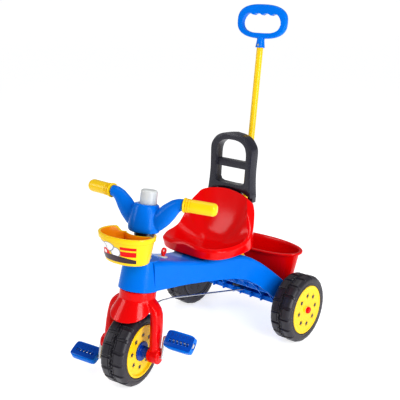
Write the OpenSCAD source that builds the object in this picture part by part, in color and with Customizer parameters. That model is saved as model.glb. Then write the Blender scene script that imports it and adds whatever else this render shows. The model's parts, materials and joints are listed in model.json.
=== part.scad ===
// Ride-on tricycle for a small child, with a push rod that steers the front wheel through a wire link.
// Millimetres. +Z is up, the front wheel is at -Y, the rider's left is at +X, the floor is Z = 0.
// The steering is drawn turned a little to the rider's left, with the push rod turned by the same angle.

/* [Wheels] */
// Radius of the front tyre.
front_radius = 92; // [91:0.5:93]
// Width of the front tyre.
front_width = 69.4; // [66:0.2:70]
// Radius of each rear tyre.
rear_radius = 95; // [93:0.5:96]
// Width of each rear tyre.
rear_width = 65.6; // [62:0.2:66]
// Outer face of a rear wheel, from the centre plane.
rear_face = 230; // [229:0.5:234]
// Distance between the front and rear axles.
wheelbase = 465; // [464:0.5:466]

/* [Steering] */
// Rake of the steering axis.
rake = 11; // [10.5:0.1:11.5]
// Angle at which the front wheel stands turned.
steer_rest = 10.5; // [0:0.5:15]
// Height of the head tube's lower face along the steering axis.
head_low = 158; // [157.5:0.1:158]
// Height of the head tube's upper face along the steering axis.
head_high = 235; // [234:0.1:235]
// Radius of the fork's steerer.
steerer_r = 15; // [14:0.5:15]

/* [Cranks and pedals] */
// Length of a crank arm.
crank_length = 50.4; // [46:0.2:52]
// Radius of the crank bar.
crank_r = 5; // [4.5:0.1:5]
// Width of a pedal along its pin.
pedal_width = 75.5; // [70:0.5:76]
// Depth of a pedal across its pin.
pedal_depth = 47; // [42:0.5:48]
// Thickness of a pedal.
pedal_thick = 19; // [17:0.5:20]

/* [Frame] */
// Wall thickness of the moulded frame.
frame_wall = 3.5; // [3:0.1:4]
// Height of the seat platform.
platform_z = 280; // [279.5:0.1:280]

/* [Seat and backrest] */
// Wall thickness of the seat.
seat_wall = 3; // [2.5:0.1:3]
// Height of the middle of the seat bowl.
bowl_z = 286.5; // [286:0.1:288]
// Depth of the backrest from front to back.
backrest_depth = 30; // [26:0.5:32]
// Height of the top of the backrest.
backrest_top = 579.5; // [570:0.5:585]

/* [Basket and tub] */
// Wall thickness of the front basket.
basket_wall = 3; // [2.5:0.1:3.2]
// Wall thickness of the rear tub.
tub_wall = 3; // [2.5:0.1:3.5]
// Height of the rear tub's rim.
tub_rim_z = 220; // [216:0.5:222]

/* [Push rod] */
// Radius of the push rod.
rod_r = 9; // [8.5:0.1:9]
// Backward lean of the push rod.
rod_lean = 7.55; // [7.3:0.05:7.8]
// Half the width of the push handle.
handle_half = 74; // [70:0.5:80]

/* [Hidden] */

$fn = 64;
rear_y = 205;
front_y = rear_y - wheelbase;
front_z = front_radius + 0.75;
axle_r = 4;
axle_bore = 4.06;
front_disc_r = 68.3;
front_dish = 5;
rear_dish = 1;
rear_disc_r = 69.4;
rear_mid = rear_face - rear_width / 2;
arm_x = 30;
arm_y = 25;
rod_foot = [0, 200.6, 250];
pin_gap = 0.6;
wire_r = 2.2;
red = [0.75, 0.03, 0.05];
blue = [0.03, 0.25, 0.7];
dark_blue = [0.03, 0.08, 0.3];
yellow = [0.95, 0.75, 0.03];
black = [0.08, 0.08, 0.09];
steel = [0.75, 0.76, 0.78];
white = [0.92, 0.92, 0.9];

// Smooth curve between points b and c of a list.
function bend(a, b, c, d, t) =
  0.5 * (2 * b + (c - a) * t + (2 * a - 5 * b + 4 * c - d) * t * t + (3 * b - a - 3 * c + d) * t * t * t);
// Closed smooth curve through the points p, with k steps between neighbours.
function loop(p, k) =
  let (n = len(p))
  [for (i = [0:n - 1], s = [0:k - 1]) bend(p[(i + n - 1) % n], p[i], p[(i + 1) % n], p[(i + 2) % n], s / k)];
// Open smooth curve through the points p.
function curve(p, k) =
  let (n = len(p))
  [for (i = [0:n - 2], s = [0:(i == n - 2 ? k : k - 1)])
    bend(p[max(i - 1, 0)], p[i], p[i + 1], p[min(i + 2, n - 1)], s / k)];
function backwards(p) = [for (i = [len(p) - 1:-1:0]) p[i]];
function mirrored(p) = [for (q = backwards(p)) [-q[0], q[1]]];
function oval(rx, ry, e = 2, n = 48) =
  [for (i = [0:n - 1]) let (c = cos(360 * i / n), s = sin(360 * i / n))
    [rx * sign(c) * pow(abs(c), 2 / e), ry * sign(s) * pow(abs(s), 2 / e)]];
function lift(p, c, k = 0) = [for (q = p) [c[0] + q[0], c[1] + q[1], c[2] + k * q[1]]];
function total(p, i = 0) = i < len(p) ? p[i] + total(p, i + 1) : [0, 0, 0];

// Closed solid through a list of rings, with both ends fanned to their middles.
module skin(rings) {
  n = len(rings[0]);
  m = len(rings);
  first = total(rings[0]) / n;
  last = total(rings[m - 1]) / n;
  polyhedron(
    points = concat([for (ring = rings) each ring], [first, last]),
    faces = concat(
      [for (i = [0:n - 1]) [n * m, i, (i + 1) % n]],
      [for (j = [0:m - 2], i = [0:n - 1]) [j * n + i, (j + 1) * n + i, (j + 1) * n + (i + 1) % n]],
      [for (j = [0:m - 2], i = [0:n - 1]) [j * n + i, (j + 1) * n + (i + 1) % n, j * n + (i + 1) % n]],
      [for (i = [0:n - 1]) [n * m + 1, (m - 1) * n + (i + 1) % n, (m - 1) * n + i]]
    ),
    convexity = 6
  );
}

module along_x(r, x0, x1) {
  translate([x0, 0, 0]) rotate([0, 90, 0]) cylinder(r = r, h = x1 - x0);
}

module along_y(r, y0, y1) {
  translate([0, y0, 0]) rotate([-90, 0, 0]) cylinder(r = r, h = y1 - y0);
}

// Solid of revolution about X. Each point is [radius, distance along X].
module spin_x(points) {
  rotate([0, 90, 0]) rotate_extrude($fn = 96) polygon(points);
}

// Round bar through a list of points.
module bar(points, r) {
  for (i = [0:len(points) - 2]) {
    d = points[i + 1] - points[i];
    translate(points[i])
      rotate([0, acos(d[2] / norm(d)), atan2(d[1], d[0])])
        cylinder(r = r, h = norm(d), $fn = 32);
  }
  for (i = [1:len(points) - 2]) translate(points[i]) sphere(r = r, $fn = 32);
}

module at_head() {
  translate([0, front_y, front_z]) rotate([-rake, 0, 0]) children();
}

module at_fork() {
  at_head() rotate([0, 0, steer_rest]) children();
}

module at_rear() {
  translate([0, rear_y, rear_radius]) children();
}

module at_rod() {
  translate(rod_foot) rotate([-rod_lean, 0, 0]) children();
}

module at_handle() {
  at_rod() rotate([0, 0, steer_rest]) children();
}

// ---- Frame ----

frame_top = curve([[-222, 325], [-160, 307.8], [-108, 291], [-52, 276], [-28, 272], [11, 271], [65, 263],
  [92, 257], [120, 243], [155, 217], [200, 173], [233, 140]], 3);
frame_low = curve([[-222, 248], [-131, 232], [-16, 211], [62, 196], [107, 180], [153, 142], [175, 118],
  [190, 98]], 3);
frame_half = curve([[-235, 49], [-222, 50], [-160, 51], [-106, 52], [-17, 64], [60, 82], [100, 98], [148, 118],
  [203, 145], [233, 150]], 3);
frame_stops = [-222, -205, -190, -175, -160, -145, -130, -115, -100, -85, -70, -55, -40, -25, -10, 5, 20, 35, 50,
  62, 74, 84, 94, 104, 114, 124, 134, 144, 153, 162, 171, 180, 188, 194, 202, 210, 218, 226, 233];

// Section of the frame at y: rounded along its top edges, drawn in by wall, with its foot lowered by drop.
function frame_ring(y, wall, drop) =
  let (
    w = lookup(y, frame_half) - wall,
    top = lookup(y, frame_top) - wall,
    low = (y > 192 ? 92 : lookup(y, frame_low)) - drop,
    f = 13 - wall
  )
  concat(
    [[w, y, low], [-w, y, low]],
    [for (a = [0:15:90]) [-w + f - f * cos(a), y, top - f + f * sin(a)]],
    [for (a = [90:-15:0]) [w - f + f * cos(a), y, top - f + f * sin(a)]]
  );

module frame_body(wall, drop, first, last) {
  skin(concat(
    [frame_ring(first, wall, drop)],
    [for (y = frame_stops) if (y > first + 2 && y < last - 2) frame_ring(y, wall, drop)],
    [frame_ring(last, wall, drop)]
  ));
}

module head_cone(inset, low, high) {
  translate([0, 0, low])
    cylinder(r1 = 50.8 - inset - (low - 158) * 0.0883, r2 = 50.8 - inset - (high - 158) * 0.0883, h = high - low);
}

// Stiffening plates under the frame's skin.
module frame_ribs() {
  for (y = [-165, -105, -45, 15, 75, 130]) translate([-150, y, 80]) cube([300, 3, 260]);
  for (y = [165]) translate([-150, y, 80]) cube([300, 3, 260]);
  translate([-1.5, -200, 80]) cube([3, 373, 260]);
  for (x = [11.5, 50, 87], s = [-1, 1]) translate([s * x - 1.5, x == 50 ? 20 : 70, 80]) cube([3, 163, 260]);
  for (s = [-1, 1]) translate([s * 50 - 1.5, 150, 80]) cube([3, 83, 260]);
  for (s = [-1, 1]) translate([s * 122 - 1.5, 165, 80]) cube([3, 68, 260]);
}

module frame_cavity() {
  difference() {
    frame_body(frame_wall, 60, -222, 233 - frame_wall);
    frame_ribs();
    at_head() head_cone(0, head_low - 30, head_high + 30);
    at_rod() cylinder(r = 15.5, h = 185, center = true);
  }
}

module frame() {
  color(blue) difference() {
    union() {
      difference() {
        frame_body(0, 0, -222, 233);
        frame_cavity();
        at_head() translate([0, 0, head_high]) cylinder(r = 90, h = 40);
      }
      at_head() head_cone(0, head_low, head_high);
      difference() {
        translate([-35, -20, 240]) cube([70, 125, platform_z - 240]);
        translate([-35 + frame_wall, -20 + frame_wall, 230])
          cube([70 - 2 * frame_wall, 125 - 2 * frame_wall, platform_z - frame_wall - 230]);
      }
      // Axle beam, its ends and the hooked rib feet in front of it.
      translate([-146, rear_y - 12, 88.5]) cube([292, 24, 14]);
      for (s = [-1, 1]) at_rear() mirror([s < 0 ? 1 : 0, 0, 0]) along_x(13, 140, rear_face - rear_width - 3.4);
      for (x = [-87, -50, -11.5, 11.5, 50, 87]) translate([x - 2, rear_y - 24, 90]) cube([4, 14, 12]);
      // Shelf that carries the tub.
      translate([0, 0, 102])
        linear_extrude(12) polygon([[-112, 229], [112, 229], [104, 300], [84, 316], [-84, 316], [-104, 300]]);
      at_rod() translate([0, 0, -128.5]) cylinder(r = 15.5, h = 82);
    }
    // The shelf is a plate 5 mm thick with a turned-down edge.
    translate([0, 0, 101]) linear_extrude(8)
      polygon([[-107, 234], [107, 234], [99.5, 297.5], [81.5, 312.5], [-81.5, 312.5], [-99.5, 297.5]]);
    // Hollow ring under the head tube's top plate, and the bearing bore.
    at_head() difference() {
      head_cone(frame_wall, head_low - 1, head_high - frame_wall);
      translate([0, 0, head_low - 2]) cylinder(r = 21.5, h = 100);
      for (a = [45, 135]) rotate([0, 0, a]) translate([-60, -1.5, head_low + 2]) cube([120, 3, 100]);
    }
    at_head() translate([0, 0, head_low - 5]) cylinder(r = 18, h = 100);
    at_rear() along_x(axle_bore, -200, 200);
    // Way for the steering arm and the link.
    translate([-17, 164, 102.5]) cube([70, 65.5, 23]);
    at_rod() cylinder(r = 12, h = 400, center = true);
    at_key() cylinder(r = 3.4, h = 30, center = true, $fn = 32);
    at_key() translate([0, 0, -16]) cylinder(r = 5.4, h = 11.6, $fn = 32);
    for (s = [-1, 1], y = [5, 85]) translate([s * 22, y, 260]) cylinder(r = 2.3, h = 40, $fn = 24);
    for (s = [-1, 1]) translate([s * 60, 280, 100]) cylinder(r = 2.2, h = 30, $fn = 24);
  }
}

module steering_bushes() {
  color(white) at_head() difference() {
    union() {
      translate([0, 0, head_low - 1.7]) cylinder(r = 24, h = 1.7);
      translate([0, 0, head_low]) cylinder(r = 18, h = 22);
      translate([0, 0, head_high]) cylinder(r = 24, h = 1.7);
      translate([0, 0, head_high - 22]) cylinder(r = 18, h = 22);
    }
    cylinder(r = steerer_r + 0.06, h = 300);
  }
}

module rod_bushes() {
  color(white) at_rod() difference() {
    union() {
      translate([0, 0, -46.5]) cylinder(r = 15.5, h = 2.5);
      translate([0, 0, -66.5]) cylinder(r = 12, h = 20);
      translate([0, 0, -128.5]) cylinder(r = 12, h = 20);
    }
    cylinder(r = rod_r + 0.06, h = 300, center = true);
  }
}

module rear_axle() {
  color(steel) at_rear() along_x(axle_r, -(rear_face + 6), rear_face + 6);
}

module axle_caps() {
  color(red) at_rear() for (s = [0, 1]) mirror([s, 0, 0])
    spin_x([[axle_r, rear_face + 0.6], [9.5, rear_face + 0.6], [9.5, rear_face + 4.6], [8.6, rear_face + 6.6],
      [6.5, rear_face + 7.8], [0, rear_face + 8.2], [0, rear_face + 6], [axle_r, rear_face + 6]]);
}

module axle_washers() {
  inner = rear_face - rear_width - 3.1;
  color(steel) at_rear() for (s = [0, 1]) mirror([s, 0, 0])
    spin_x([[axle_r, inner], [10, inner], [10, inner + 1.6], [axle_r, inner + 1.6]]);
}

// ---- Seat ----

// Crest of the rim, outer edge of the rim and foot of the skirt, from the front middle to the back.
seat_crest = [[0, -44, 317], [32, -46, 313], [60, -42, 310.5], [86, -31, 311], [104, -3, 311.5],
  [111, 34, 312], [114, 60, 318], [113, 80, 340], [100, 90, 376], [88, 105, 397], [75, 115, 412],
  [42, 123, 421], [0, 125, 425]];
seat_edge = [[0, -51, 309], [33, -53, 305], [64, -49, 303], [93, -36, 304], [110, -6, 304], [118, 34, 305],
  [121, 61, 312], [120, 87, 336], [110, 107, 371], [98, 121, 389], [84, 130, 400], [44, 135, 412], [0, 136, 418]];
seat_foot = [[0, -49, 282], [34, -50, 282], [63, -46, 282], [91, -32, 282], [107, -1, 281.5], [113, 36, 281],
  [115, 60, 281], [114, 85, 281], [107, 107, 281], [94, 124, 281], [80, 134, 281], [44, 138, 281], [0, 139, 281]];
bowl_mid = [0, 40, bowl_z];

function around(p) = loop(concat(p, [for (i = [len(p) - 2:-1:1]) [-p[i][0], p[i][1], p[i][2]]]), 2);
function plan_out(q) = let (d = [q[0] - bowl_mid[0], q[1] - bowl_mid[1], 0]) d / norm(d);
function bowl(q, s) =
  [bowl_mid[0] + (q[0] - bowl_mid[0]) * s, bowl_mid[1] + (q[1] - bowl_mid[1]) * s,
    bowl_mid[2] + (q[2] - bowl_mid[2]) * pow(s, 3)];
function under_bowl(q, s) =
  let (k = 3 * (q[2] - bowl_mid[2]) * s * s / norm([q[0] - bowl_mid[0], q[1] - bowl_mid[1]]), g = sqrt(1 + k * k))
  bowl(q, s) + plan_out(q) * seat_wall * k / g - [0, 0, seat_wall / g];

module seat_shell() {
  crest = around(seat_crest);
  edge = around(seat_edge);
  foot = around(seat_foot);
  skin([
    for (s = [0.08, 0.4, 0.6, 0.75, 0.86, 0.94]) [for (q = crest) under_bowl(q, s)],
    [for (i = [0:len(crest) - 1]) (crest[i] + edge[i]) / 2 - [0, 0, 4.5]],
    [for (i = [0:len(crest) - 1]) edge[i] - plan_out(edge[i]) * seat_wall - [0, 0, 7]],
    [for (q = foot) q - plan_out(q) * seat_wall],
    foot,
    [for (i = [0:len(foot) - 1]) foot[i] * 0.5 + edge[i] * 0.5],
    [for (q = edge) q - [0, 0, 3]],
    [for (i = [0:len(crest) - 1]) edge[i] + plan_out(edge[i]) * 0.6],
    [for (i = [0:len(crest) - 1]) edge[i] * 0.5 + crest[i] * 0.5 + [0, 0, 2.2]],
    crest,
    for (s = [0.94, 0.86, 0.75, 0.6, 0.4, 0.08]) [for (q = crest) bowl(q, s)]
  ]);
}

module seat() {
  color(red) difference() {
    union() {
      seat_shell();
      for (s = [-1, 1]) {
        translate([s * 22, 5, platform_z]) cylinder(r = 8, h = 5.5, $fn = 32);
        translate([s * 22, 85, platform_z]) cylinder(r = 8, h = 20, $fn = 32);
      }
      for (s = [-1, 1]) translate([s * 25, 0, 385]) along_y(6, 121, 136);
    }
    for (s = [-1, 1], y = [5, 85]) translate([s * 22, y, 270]) cylinder(r = 2, h = 15.2, $fn = 24);
    for (s = [-1, 1]) translate([s * 25, 0, 385]) along_y(2, 124, 150);
  }
}

module seat_screws() {
  color(steel) for (s = [-1, 1], y = [5, 85]) translate([s * 22, y, 0]) {
    translate([0, 0, platform_z - frame_wall - 2.6]) cylinder(r = 4.5, h = 2.6, $fn = 32);
    translate([0, 0, platform_z - frame_wall - 1]) cylinder(r = 2, h = 9, $fn = 24);
  }
}

// ---- Backrest ----

module at_back() {
  translate([0, 136, 406]) rotate([-4.5, 0, 0]) children();
}

back_outer = curve([[74, 0], [70.5, 30], [68.5, 67], [69.5, 100], [70, 127], [65.5, 142], [51.5, 159], [31, 169],
  [0, backrest_top - 406]], 4);
back_window = curve([[51, 95], [51, 112], [50, 123], [45, 137], [33, 147.5], [17, 152.5], [0, 153.5]], 4);
back_low_window = [[51, 42], [51, 75], [0, 75], [-51, 75], [-51, 42], [-47, 34], [-38, 30.5], [0, 29.5],
  [38, 30.5], [47, 34]];

module backrest() {
  color(black) difference() {
    union() {
      at_back() difference() {
        translate([0, backrest_depth, 0]) rotate([90, 0, 0]) linear_extrude(backrest_depth) difference() {
          polygon(concat(back_outer, mirrored(back_outer),
            [for (x = [-68:8.5:68]) [x, 21 - 21 * pow(x / 72, 2)]]));
          polygon(concat(back_window, mirrored(back_window)));
          polygon(back_low_window);
        }
        // The crossbar stands back from the front face.
        translate([-51, -1, 74]) cube([102, 11, 22]);
      }
      at_back() for (s = [-1, 1]) translate([s * 65 - 8, 13, -14]) cube([16, 17, 24]);
      translate([-40, 140.5, 360]) cube([80, 8, 75]);
    }
    for (s = [-1, 1]) translate([s * 25, 0, 385]) along_y(2.2, 130, 155);
    at_back() for (s = [-1, 1]) translate([s * 80 - 6.5, -5, -20]) cube([13, 40, 20]);
  }
}

module backrest_screws() {
  color(steel) for (s = [-1, 1]) translate([s * 25, 0, 385]) {
    along_y(4.5, 148.5, 151);
    along_y(2, 125, 149);
  }
}

// ---- Tub behind the seat ----

module rear_tub() {
  mid = [0, 291.5, 0];
  color(red) difference() {
    skin([
      for (q = [[114, 108, 34], [116, 115, 40], [121, 118, 43], [153, 125, 48], [209, 138, 55],
        [tub_rim_z - 6, 139, 55.5], [tub_rim_z - 6, 148, 62.5], [tub_rim_z - 1, 148.5, 63.98], [tub_rim_z, 147, 61.5],
        [tub_rim_z, 137.5, 54.5], [209, 138 - tub_wall, 55 - tub_wall], [153, 125 - tub_wall, 48 - tub_wall],
        [121, 114.5, 39.5], [117, 110, 35]])
        lift(oval(q[1], q[2], 2.15), mid + [0, 0, q[0]])
    ]);
    for (s = [-1, 1]) translate([s * 60, 280, 100]) cylinder(r = 2, h = 30, $fn = 24);
  }
}

module tub_screws() {
  color(steel) for (s = [-1, 1]) translate([s * 60, 280, 0]) {
    translate([0, 0, 117]) cylinder(r = 4.5, h = 2.4, $fn = 32);
    translate([0, 0, 104]) cylinder(r = 2, h = 14, $fn = 24);
  }
}

// ---- Fork ----

// Leg rings from the wheel up to the crown: middle, height, half width and half depth.
leg_path = [[68, -6, 12.5, 16], [68, 8, 12.5, 16], [67.6, 30, 13, 17.6], [66, 60, 13.5, 20], [64, 84, 13.5, 20.5],
  [61, 104, 13.5, 20.5], [55.5, 117, 13.5, 20], [46.5, 127.5, 13, 19.4], [33.5, 138.6, 12, 18.6]];

module fork_leg() {
  skin([for (q = leg_path) [for (p = oval(q[2], q[3], 2.2, 24)) [q[0] + p[0], p[1], q[1]]]]);
}

module fender() {
  skin([for (a = [-72:6:72])
    let (low = 82 + 21 * pow(a / 60, 2), out = 45.2 + (134.4 - low) * 0.49)
    [[sin(a) * 45.2, -cos(a) * 45.2, 134.4], [sin(a) * out, -cos(a) * out, low],
      [sin(a) * (out - 3.5), -cos(a) * (out - 3.5), low], [sin(a) * 43.4, -cos(a) * 43.4, 134.4]]]);
}

module fork() {
  color(red) at_fork() difference() {
    union() {
      difference() {
        translate([0, 0, 120]) cylinder(r = 46, h = 36);
        difference() {
          translate([0, 0, 110]) cylinder(r = 42.5, h = 40);
          translate([0, 0, 100]) cylinder(r = 21, h = 60);
          translate([-46, -1.75, 120]) cube([92, 3.5, 40]);
          translate([arm_x, arm_y, 120]) cylinder(r = 11, h = 6);
        }
      }
      translate([0, 0, 120]) cylinder(r = steerer_r, h = 225);
      for (s = [0, 1]) mirror([s, 0, 0]) {
        fork_leg();
        along_x(20, 55, 84);
      }
      fender();
    }
    for (s = [0, 1]) mirror([s, 0, 0]) along_x(8, 40, 90);
    translate([0, 0, 300]) cylinder(r = 3, h = 60, $fn = 32);
    translate([arm_x, arm_y, 100]) cylinder(r = wire_r + pin_gap, h = 40, $fn = 32);
    translate([arm_x, arm_y, 126]) cylinder(r = 7.5, h = 12, $fn = 32);
  }
}

module crank_bushes() {
  color(red) at_fork() for (s = [0, 1]) mirror([s, 0, 0]) difference() {
    union() {
      along_x(12, 53.5, 55);
      along_x(8, 55, 84);
      along_x(12, 84, 85);
    }
    along_x(crank_r + 0.06, 40, 100);
  }
}

// ---- Handlebar and horn ----

module bar_arm() {
  skin([for (q = [[16, 325, 25, 17, 24], [36, 334, 24.5, 17, 34], [50, 346, 23.5, 17, 46], [64, 362, 22, 16.5, 50],
    [80, 378, 17.5, 15.5, 36], [91, 384, 15.2, 14.8, 18], [103.2, 386, 14.4, 14.4, 0]])
    [for (p = oval(q[3], q[2], 2, 28))
      [q[0] - sin(q[4]) * p[1], -4.5 + p[0], q[1] + cos(q[4]) * p[1]]]]);
  at_grip() along_x(10, -4, 74.7);
}

module handlebar() {
  color(blue) at_fork() difference() {
    union() {
      difference() {
        translate([0, -5, 0]) rotate_extrude()
          polygon([[0, 301], [33, 301], [36.8, 302.4], [39.2, 305.5], [40.4, 311], [40.3, 318], [38.6, 332],
            [35.4, 350], [32.4, 364], [30.8, 369.4], [28.8, 371], [0, 371]]);
        difference() {
          translate([0, -5, 0]) rotate_extrude()
            polygon([[0, 300], [32, 300], [35.6, 306], [36.9, 312], [36.8, 318], [35.1, 332], [31.9, 350],
              [29.2, 361.5], [0, 361.5]]);
          cylinder(r = 20, h = 400);
        }
      }
      translate([0, 0, 237]) cylinder(r = 20, h = 120);
      for (s = [0, 1]) mirror([s, 0, 0]) bar_arm();
    }
    translate([0, 0, 230]) cylinder(r = steerer_r, h = 115);
    for (s = [0, 1]) mirror([s, 0, 0]) at_grip() difference() {
      along_x(20, 0, 30);
      along_x(10, -1, 31);
    }
    translate([0, 0, 330]) cylinder(r = 3.3, h = 30, $fn = 32);
    translate([0, 1, 350]) cylinder(r = 13, h = 40);
    // Groove into which the horn cap sinks.
    difference() {
      translate([0, 1, 366]) cylinder(r = 22.2, h = 10);
      translate([0, 1, 360]) cylinder(r = 18, h = 20);
    }
  }
}

module stem_collar() {
  color(black) at_fork() difference() {
    translate([0, 0, 292.5]) cylinder(r = 26, h = 8);
    translate([0, 0, 290]) cylinder(r = 20, h = 20);
  }
}

module stem_bolt() {
  color(steel) at_fork() {
    translate([0, 0, 350]) cylinder(r = 9, h = 1.6, $fn = 32);
    translate([0, 0, 351.6]) cylinder(r = 5.8, h = 4, $fn = 6);
    translate([0, 0, 305]) cylinder(r = 3, h = 48, $fn = 32);
  }
}

module at_grip() {
  translate([103.2, -4.5, 385.9]) rotate([0, 0, 12.7]) children();
}

module grip() {
  at_grip()
    spin_x([[10, 0], [17.5, 0], [18.3, 1], [18.3, 3], [17.5, 4], [15, 4.6], [15, 6.4], [17, 7], [17, 9.6],
      [15, 10.2], [15, 12], [16.6, 12.6], [16.6, 15.2], [15, 15.8], [15, 17.6], [16, 18.4], [16.2, 70],
      [15.6, 74.5], [13.8, 78.4], [10.6, 81.2], [6, 82.4], [0, 82.6], [0, 74.9], [10, 74.9]]);
}

module grip_left() {
  color(yellow) at_fork() grip();
}

module grip_right() {
  color(yellow) at_fork() mirror([1, 0, 0]) grip();
}

module horn_bellows() {
  color(black) at_fork() translate([0, 1, 0]) rotate_extrude()
    polygon([[0, 357], [12.9, 357], [12.9, 371], [15.5, 373], [12, 376.5], [15.5, 380], [12, 383.5], [15.5, 387],
      [12, 390.5], [15.5, 394], [12.5, 397.5], [0, 397.5]]);
}

module horn_button() {
  color(white) at_fork() translate([0, 1, 0]) rotate_extrude()
    polygon([[21.6, 370.4], [21, 399], [20.2, 402.6], [17.6, 404.9], [0, 405.6], [0, 402.5], [16.4, 402.4],
      [18, 399.6], [18.7, 370.4]]);
}

// ---- Basket ----

// Ring of the basket: centre, height, half width, half depth and hollow round the stem.
// The back dips under the stem.
function basket_ring(v, w, rx, ry, keep) =
  [for (p = oval(rx, ry, 2.15, 56))
    let (
      k = max(1, keep / norm([p[0], v + p[1]])),
      y = (v + p[1]) * k,
      near = min(1, max(0, (y + 58) / 12)) * min(1, max(0, (58 - abs(p[0] * k)) / 14)),
      dip = 0.36 * max(0, w - 270) * near * near * (3 - 2 * near)
    )
    [p[0] * k, y, w + 0.0925 * (y - v) - dip]];

module basket() {
  t = basket_wall;
  color(yellow) at_fork() difference() {
    skin([
      basket_ring(-63, 236.4, 51, 38, 44), basket_ring(-63.5, 238.4, 55, 41.5, 42),
      basket_ring(-67, 255, 59.5, 46, 42.3), basket_ring(-72.5, 281, 65, 50.5, 44),
      basket_ring(-76, 294, 68, 53, 45.2), basket_ring(-76.4, 294.6, 71.2, 56, 44.2),
      basket_ring(-77.3, 305.6, 72.4, 56.9, 44.2), basket_ring(-77.3, 306.8, 71.4, 55.9, 45),
      basket_ring(-77.2, 306.8, 66.8, 51.6, 47.6), basket_ring(-72.5, 281, 65 - t, 50.5 - t, 44 + t),
      basket_ring(-67, 255, 59.5 - t, 46 - t, 42.3 + t), basket_ring(-64, 242.4, 54, 40.5, 46),
      basket_ring(-63.4, 239.8, 48, 35, 50)
    ]);
    for (s = [-1, 1]) translate([s * 8, 0, 279]) along_y(1.7, -60, -20);
  }
}

module basket_bracket() {
  color(black) at_fork() difference() {
    union() {
      translate([0, 0, 268]) cylinder(r = 25, h = 24);
      translate([-14, -41, 271]) cube([28, 30, 16]);
    }
    translate([0, 0, 260]) cylinder(r = 20, h = 40);
    for (s = [-1, 1]) translate([s * 8, 0, 279]) along_y(1.5, -50, -24);
  }
}

module basket_screws() {
  color(steel) at_fork() for (s = [-1, 1]) translate([s * 8, 0, 279]) {
    along_y(3.4, -49.3, -47.1);
    along_y(1.5, -48, -26);
  }
}

// ---- Front wheel ----

// Blow-moulded tyre with 18 flats of inner radius r, staggered shoulder grooves and a centre groove.
module tyre(r, half, disc) {
  bulge = 13;
  edge = concat(
    [[disc + 0.1, half - 6], [disc + 0.1, half - 3], [disc + 1.6, half - 2.4], [disc + 1.6, half - 0.8],
      [disc + 2.6, half]],
    [for (a = [90:-15:0]) [r + 1.1 - bulge + bulge * cos(a), half - bulge + bulge * sin(a)]]
  );
  difference() {
    intersection() {
      spin_x(concat(edge, [for (q = backwards(edge)) [q[0], -q[1]]],
        [[disc - 6, 6 - half], [disc - 6, half - 6]]));
      rotate([90, 0, 90]) translate([0, 0, -half - 1]) linear_extrude(2 * half + 2)
        polygon([for (i = [0:17]) [r / cos(10) * cos(20 * i), r / cos(10) * sin(20 * i)]]);
    }
    for (i = [0:17]) {
      rotate([20 * i + 10, 0, 0]) translate([5, -1.5, r - 2.4]) cube([half, 3, 8]);
      rotate([20 * i, 0, 0]) translate([-5 - half, -1.5, r - 2.8]) cube([half, 3, 8]);
    }
    rotate([0, 90, 0]) rotate_extrude($fn = 96)
      polygon([[r - 2.2, -1.6], [r + 6, -1.6], [r + 6, 1.6], [r - 2.2, 1.6]]);
  }
}

// Five-pointed star of outer radius r.
module star(r) {
  polygon([for (i = [0:9]) let (q = i % 2 == 0 ? r : r * 0.42) [q * cos(36 * i), q * sin(36 * i)]]);
}

// Dished wheel disc with a ring of star-shaped openings.
module wheel_disc(half, disc, proud, dish) {
  top = half + proud;
  difference() {
    disc_blank(half, disc, top, dish);
    for (i = [0:7])
      rotate([45 * i, 0, 0]) translate([top - dish - 5, 0, 42]) rotate([0, 90, 0]) rotate([0, 0, 180])
        linear_extrude(12) star(7.2);
  }
}

module disc_blank(half, disc, top, dish) {
  face = top - dish;
  spin_x([[9, 0.3], [13, 0.3], [13, face - 3], [disc - 10, face - 3], [disc - 6.2, half - 6], [disc, half - 6],
    [disc, top - 0.8], [disc - 0.8, top], [disc - 5, top], [disc - 7.5, face], [18, face], [17, face + 0.2],
    [9, face + 0.2]]);
}

module front_tyre() {
  // Turned so that one flat meets the floor.
  color(black) at_fork() rotate([10.8, 0, 0]) tyre(front_radius - 0.15, front_width / 2, front_disc_r);
}

module front_disc_left() {
  color(yellow) at_fork() wheel_disc(front_width / 2, front_disc_r, 0.1, front_dish);
}

module front_disc_right() {
  color(yellow) at_fork() mirror([1, 0, 0]) wheel_disc(front_width / 2, front_disc_r, 0.1, front_dish);
}

module front_hub() {
  base = front_width / 2 + 0.3 - front_dish;
  spin_x([[crank_r, 16], [9, 16], [9, base], [25, base], [25, base + 3], [23.8, base + 4.2], [15.2, base + 4.2],
    [14, base + 5.4], [14, 52.2], [13, 53], [crank_r, 53]]);
}

module front_hub_left() {
  color(dark_blue) at_fork() front_hub();
}

module front_hub_right() {
  color(dark_blue) at_fork() mirror([1, 0, 0]) front_hub();
}

// ---- Cranks and pedals ----

crank_dir = [0, 3.3, 50.3] / norm([0, 3.3, 50.3]) * crank_length;
arm_side = 90.5;
pin_end = 171;

module crank() {
  out = [1, 0, 0];
  color(steel) at_fork() bar([
    -pin_end * out - crank_dir, -arm_side * out - crank_dir, -arm_side * out,
    arm_side * out, arm_side * out + crank_dir, pin_end * out + crank_dir
  ], crank_r);
}

module push_nuts() {
  start = 96.1 + pedal_width - 4.2;
  color(steel) at_fork() for (s = [0, 1])
    rotate([0, 0, 180 * s]) rotate([s * 2 * atan2(3.3, 50.3) + 180 * s, 0, 0])
    translate(crank_dir)
      spin_x([[crank_r, start], [8, start], [8, start + 1], [6.5, start + 2.2], [crank_r, start + 2.2]]);
}

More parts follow.
